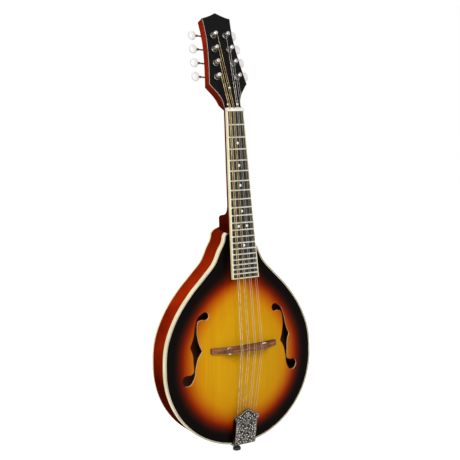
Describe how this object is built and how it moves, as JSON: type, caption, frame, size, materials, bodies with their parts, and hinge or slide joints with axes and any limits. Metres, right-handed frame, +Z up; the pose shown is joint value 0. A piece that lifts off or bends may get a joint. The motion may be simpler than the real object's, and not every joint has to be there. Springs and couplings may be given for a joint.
{
  "type": "mandolin",
  "caption": "A-style mandolin: arched body with f-holes, bound fretboard, adjustable bridge, geared tuners and a sliding tailpiece cover",
  "frame": {"origin": "the middle of the head under its flare, where a hanger's yoke holds the instrument", "axes": "+Z up the body toward the head, -Y out of the soundboard, +X to the treble side"},
  "size_m": [0.2534, 0.1134, 0.6712],
  "materials": {
    "spruce": "gloss sunburst lacquer",
    "maple": "gloss red-brown lacquer",
    "inner_wood": "bare",
    "rosewood": "oiled",
    "cream": "polished",
    "bone": "satin",
    "black": "polished",
    "pearl": "polished",
    "nickel": "polished",
    "steel": "drawn",
    "bronze": "wound"
  },
  "bodies": {
    "instrument": {"back_binding": "cream", "back_lining": "inner_wood", "back_plate": "maple", "bridge_base": "rosewood", "bridge_stud_bass": "steel", "bridge_stud_treble": "steel", "end_pin": "black", "fretboard": "rosewood", "fretboard_binding": "cream", "fretboard_support": "black", "head_overlay": "black", "neck": "maple", "neck_block": "inner_wood", "nut": "bone", "rim": "maple", "soundboard": "spruce", "string_a_1": "steel", "string_a_2": "steel", "string_d_1": "bronze", "string_d_2": "bronze", "string_e_1": "steel", "string_e_2": "steel", "string_g_1": "bronze", "string_g_2": "bronze", "tail_block": "inner_wood", "tailpiece_base": "nickel", "tailpiece_screw_bass": "nickel", "tailpiece_screw_treble": "nickel", "tone_bar_bass": "inner_wood", "tone_bar_treble": "inner_wood", "top_binding": "cream", "top_lining": "inner_wood", "truss_rod": "steel", "truss_rod_cover": "black", "truss_rod_cover_screw_1": "nickel", "truss_rod_cover_screw_2": "nickel", "truss_rod_cover_screw_3": "nickel", "tuner_plate_bass": "nickel", "tuner_plate_treble": "nickel"},
    "knob_bass_1": {"tuner_knob_bass_1": "pearl"},
    "post_bass_1": {"tuner_post_bass_1": "nickel"},
    "knob_bass_2": {"tuner_knob_bass_2": "pearl"},
    "post_bass_2": {"tuner_post_bass_2": "nickel"},
    "knob_bass_3": {"tuner_knob_bass_3": "pearl"},
    "post_bass_3": {"tuner_post_bass_3": "nickel"},
    "knob_bass_4": {"tuner_knob_bass_4": "pearl"},
    "post_bass_4": {"tuner_post_bass_4": "nickel"},
    "knob_treble_1": {"tuner_knob_treble_1": "pearl"},
    "post_treble_1": {"tuner_post_treble_1": "nickel"},
    "knob_treble_2": {"tuner_knob_treble_2": "pearl"},
    "post_treble_2": {"tuner_post_treble_2": "nickel"},
    "knob_treble_3": {"tuner_knob_treble_3": "pearl"},
    "post_treble_3": {"tuner_post_treble_3": "nickel"},
    "knob_treble_4": {"tuner_knob_treble_4": "pearl"},
    "post_treble_4": {"tuner_post_treble_4": "nickel"},
    "saddle": {"bridge_saddle": "rosewood"},
    "thumbwheel_bass": {"thumbwheel_bass": "nickel"},
    "thumbwheel_treble": {"thumbwheel_treble": "nickel"},
    "cover": {"tailpiece_cover": "nickel"},
    "rod_nut": {"truss_rod_nut": "steel"}
  },
  "joints": [
    {"name": "knob_bass_1_turn", "type": "hinge", "parent": "instrument", "child": "knob_bass_1", "pos_m": [-0.01654, 0.02361, 0.03083], "axis": [-0.9947, 0.0345, 0.0968], "continuous": true},
    {"name": "post_bass_1_turn", "type": "hinge", "parent": "instrument", "child": "post_bass_1", "pos_m": [-0.0172, 0.00273, 0.03151], "axis": [0, -0.9421, 0.3355], "continuous": true},
    {"name": "knob_bass_2_turn", "type": "hinge", "parent": "instrument", "child": "knob_bass_2", "pos_m": [-0.01426, 0.03102, 0.05164], "axis": [-0.9947, 0.0345, 0.0968], "continuous": true},
    {"name": "post_bass_2_turn", "type": "hinge", "parent": "instrument", "child": "post_bass_2", "pos_m": [-0.01492, 0.01014, 0.05231], "axis": [0, -0.9421, 0.3355], "continuous": true},
    {"name": "knob_bass_3_turn", "type": "hinge", "parent": "instrument", "child": "knob_bass_3", "pos_m": [-0.01198, 0.03843, 0.07244], "axis": [-0.9947, 0.0345, 0.0968], "continuous": true},
    {"name": "post_bass_3_turn", "type": "hinge", "parent": "instrument", "child": "post_bass_3", "pos_m": [-0.01264, 0.01754, 0.07312], "axis": [0, -0.9421, 0.3355], "continuous": true},
    {"name": "knob_bass_4_turn", "type": "hinge", "parent": "instrument", "child": "knob_bass_4", "pos_m": [-0.0097, 0.04583, 0.09324], "axis": [-0.9947, 0.0345, 0.0968], "continuous": true},
    {"name": "post_bass_4_turn", "type": "hinge", "parent": "instrument", "child": "post_bass_4", "pos_m": [-0.01035, 0.02495, 0.09392], "axis": [0, -0.9421, 0.3355], "continuous": true},
    {"name": "knob_treble_1_turn", "type": "hinge", "parent": "instrument", "child": "knob_treble_1", "pos_m": [0.01654, 0.02361, 0.03083], "axis": [0.9947, 0.0345, 0.0968], "continuous": true},
    {"name": "post_treble_1_turn", "type": "hinge", "parent": "instrument", "child": "post_treble_1", "pos_m": [0.0172, 0.00273, 0.03151], "axis": [0, -0.9421, 0.3355], "continuous": true},
    {"name": "knob_treble_2_turn", "type": "hinge", "parent": "instrument", "child": "knob_treble_2", "pos_m": [0.01426, 0.03102, 0.05164], "axis": [0.9947, 0.0345, 0.0968], "continuous": true},
    {"name": "post_treble_2_turn", "type": "hinge", "parent": "instrument", "child": "post_treble_2", "pos_m": [0.01492, 0.01014, 0.05231], "axis": [0, -0.9421, 0.3355], "continuous": true},
    {"name": "knob_treble_3_turn", "type": "hinge", "parent": "instrument", "child": "knob_treble_3", "pos_m": [0.01198, 0.03843, 0.07244], "axis": [0.9947, 0.0345, 0.0968], "continuous": true},
    {"name": "post_treble_3_turn", "type": "hinge", "parent": "instrument", "child": "post_treble_3", "pos_m": [0.01264, 0.01754, 0.07312], "axis": [0, -0.9421, 0.3355], "continuous": true},
    {"name": "knob_treble_4_turn", "type": "hinge", "parent": "instrument", "child": "knob_treble_4", "pos_m": [0.0097, 0.04583, 0.09324], "axis": [0.9947, 0.0345, 0.0968], "continuous": true},
    {"name": "post_treble_4_turn", "type": "hinge", "parent": "instrument", "child": "post_treble_4", "pos_m": [0.01035, 0.02495, 0.09392], "axis": [0, -0.9421, 0.3355], "continuous": true},
    {"name": "saddle_lift", "type": "slide", "parent": "instrument", "child": "saddle", "axis": [0, -1, 0], "range_m": [-0.00115, 0.0021], "deforming": ["string_g_1", "string_g_2", "string_d_1", "string_d_2", "string_a_1", "string_a_2", "string_e_1", "string_e_2"]},
    {"name": "thumbwheel_bass_turn", "type": "hinge", "parent": "saddle", "child": "thumbwheel_bass", "pos_m": [-0.03, -0.04394, -0.37244], "axis": [0, -1, 0], "range_deg": [-600, 1090]},
    {"name": "thumbwheel_treble_turn", "type": "hinge", "parent": "saddle", "child": "thumbwheel_treble", "pos_m": [0.03, -0.04394, -0.37244], "axis": [0, -1, 0], "range_deg": [-600, 1090]},
    {"name": "cover_slide", "type": "slide", "parent": "instrument", "child": "cover", "axis": [0, 0.1918, -0.9814], "range_m": [0, 0.025]},
    {"name": "rod_nut_turn", "type": "hinge", "parent": "instrument", "child": "rod_nut", "pos_m": [0, -0.0067, -0.01125], "axis": [0, 0.0976, 0.9952], "range_deg": [-180, 180]}
  ],
  "couplings": [
    {"joint": "post_bass_1_turn", "follows": "knob_bass_1_turn", "ratio": -0.066667},
    {"joint": "post_bass_2_turn", "follows": "knob_bass_2_turn", "ratio": -0.066667},
    {"joint": "post_bass_3_turn", "follows": "knob_bass_3_turn", "ratio": -0.066667},
    {"joint": "post_bass_4_turn", "follows": "knob_bass_4_turn", "ratio": -0.066667},
    {"joint": "post_treble_1_turn", "follows": "knob_treble_1_turn", "ratio": 0.066667},
    {"joint": "post_treble_2_turn", "follows": "knob_treble_2_turn", "ratio": 0.066667},
    {"joint": "post_treble_3_turn", "follows": "knob_treble_3_turn", "ratio": 0.066667},
    {"joint": "post_treble_4_turn", "follows": "knob_treble_4_turn", "ratio": 0.066667},
    {"joint": "thumbwheel_bass_turn", "follows": "saddle_lift", "rad_per_m": 8976},
    {"joint": "thumbwheel_treble_turn", "follows": "saddle_lift", "rad_per_m": 8976}
  ]
}
